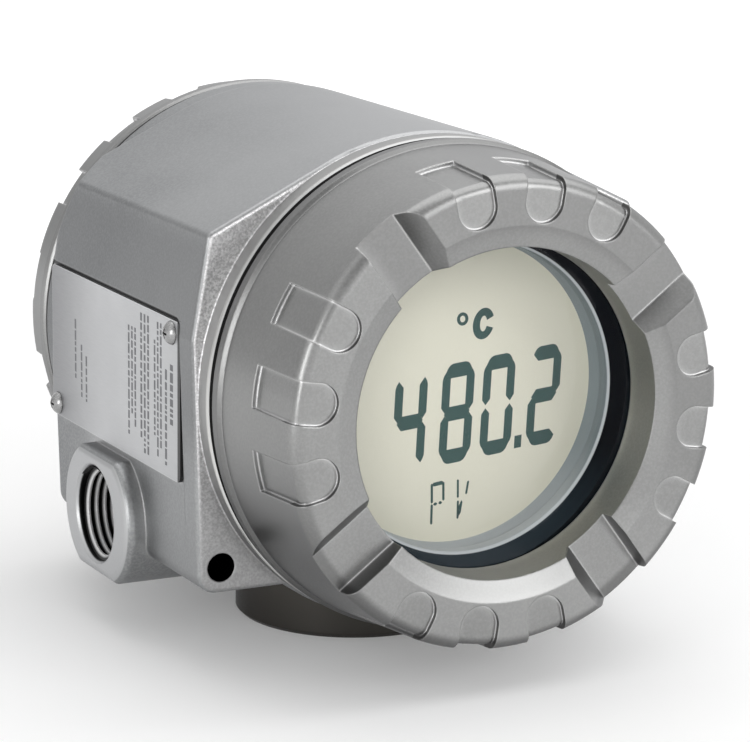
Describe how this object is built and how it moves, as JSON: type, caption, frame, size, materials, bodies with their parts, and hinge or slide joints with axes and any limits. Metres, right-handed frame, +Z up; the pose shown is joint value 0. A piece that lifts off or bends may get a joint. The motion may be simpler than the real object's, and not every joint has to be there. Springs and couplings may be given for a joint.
{
  "type": "temperature transmitter",
  "caption": "Stainless field temperature transmitter: cast two-compartment housing with a screwed window cover over a round display, a blind rear cover, side and bottom cable entries.",
  "frame": {"origin": "centre of the bottom boss's lower face, at the mouth of the bottom entry, on which the housing stands", "axes": "+Z up, the housing's axis along Y with the display facing -Y, +X to the right seen from the front"},
  "size_m": [0.11, 0.1335, 0.1087],
  "materials": {
    "cast_steel": "bead-blasted stainless casting",
    "cover_steel": "bead-blasted stainless with turned edges",
    "bright_steel": "bright turned stainless",
    "plate_steel": "fine satin sheet",
    "window_glass": "clear polished",
    "seal_black": "matte cement and rubber",
    "lcd_cream": "reflective display face",
    "bezel_grey": "satin grey",
    "case_black": "moulded",
    "board_green": "lacquered board",
    "potting_grey": "cast resin",
    "terminal_plastic": "moulded",
    "switch_white": "moulded",
    "pin_brass": "plain",
    "screw_steel": "bright fastener"
  },
  "bodies": {
    "housing": {"housing": "cast_steel", "display_bezel": "bezel_grey", "lcd_panel": "lcd_cream", "display_contact_frame": "seal_black", "display_board": "board_green", "display_case": "case_black", "display_plug": "case_black", "board_socket": "case_black", "electronics_carrier": "case_black", "main_board": "board_green", "potted_electronics": "potting_grey", "module_screws": "screw_steel", "lock_switch_body": "case_black", "feedthrough": "potting_grey", "feedthrough_pins": "pin_brass", "terminal_block": "terminal_plastic", "terminal_clamps": "pin_brass", "terminal_screws": "screw_steel", "terminal_block_screws": "screw_steel", "earth_clamp": "bright_steel", "earth_screw": "screw_steel", "nameplate": "plate_steel", "nameplate_screws": "bright_steel"},
    "front_seal": {"front_cover_o_ring": "seal_black"},
    "front_cover": {"front_cover": "cover_steel", "window_glass": "window_glass", "window_seal": "seal_black", "window_retainer": "bright_steel"},
    "rear_seal": {"rear_cover_o_ring": "seal_black"},
    "rear_cover": {"rear_cover": "cover_steel"},
    "lock_switch": {"lock_switch_slider": "switch_white"}
  },
  "joints": [
    {"name": "front_cover_travel", "type": "slide", "parent": "housing", "child": "front_seal", "axis": [0, -1, 0], "range_m": [0, 0.01]},
    {"name": "front_cover_turn", "type": "hinge", "parent": "front_seal", "child": "front_cover", "pos_m": [0, -0.0385, 0.0575], "axis": [0, -1, 0], "range_deg": [0, 1800]},
    {"name": "rear_cover_travel", "type": "slide", "parent": "housing", "child": "rear_seal", "axis": [0, 1, 0], "range_m": [0, 0.01]},
    {"name": "rear_cover_turn", "type": "hinge", "parent": "rear_seal", "child": "rear_cover", "pos_m": [0, 0.051, 0.0575], "axis": [0, 1, 0], "range_deg": [0, 1800]},
    {"name": "lock_switch_slide", "type": "slide", "parent": "housing", "child": "lock_switch", "axis": [1, 0, 0], "range_m": [0, 0.0025]}
  ],
  "couplings": [
    {"joint": "front_cover_travel", "follows": "front_cover_turn", "m_per_rad": 0.00031831},
    {"joint": "rear_cover_travel", "follows": "rear_cover_turn", "m_per_rad": 0.00031831}
  ]
}
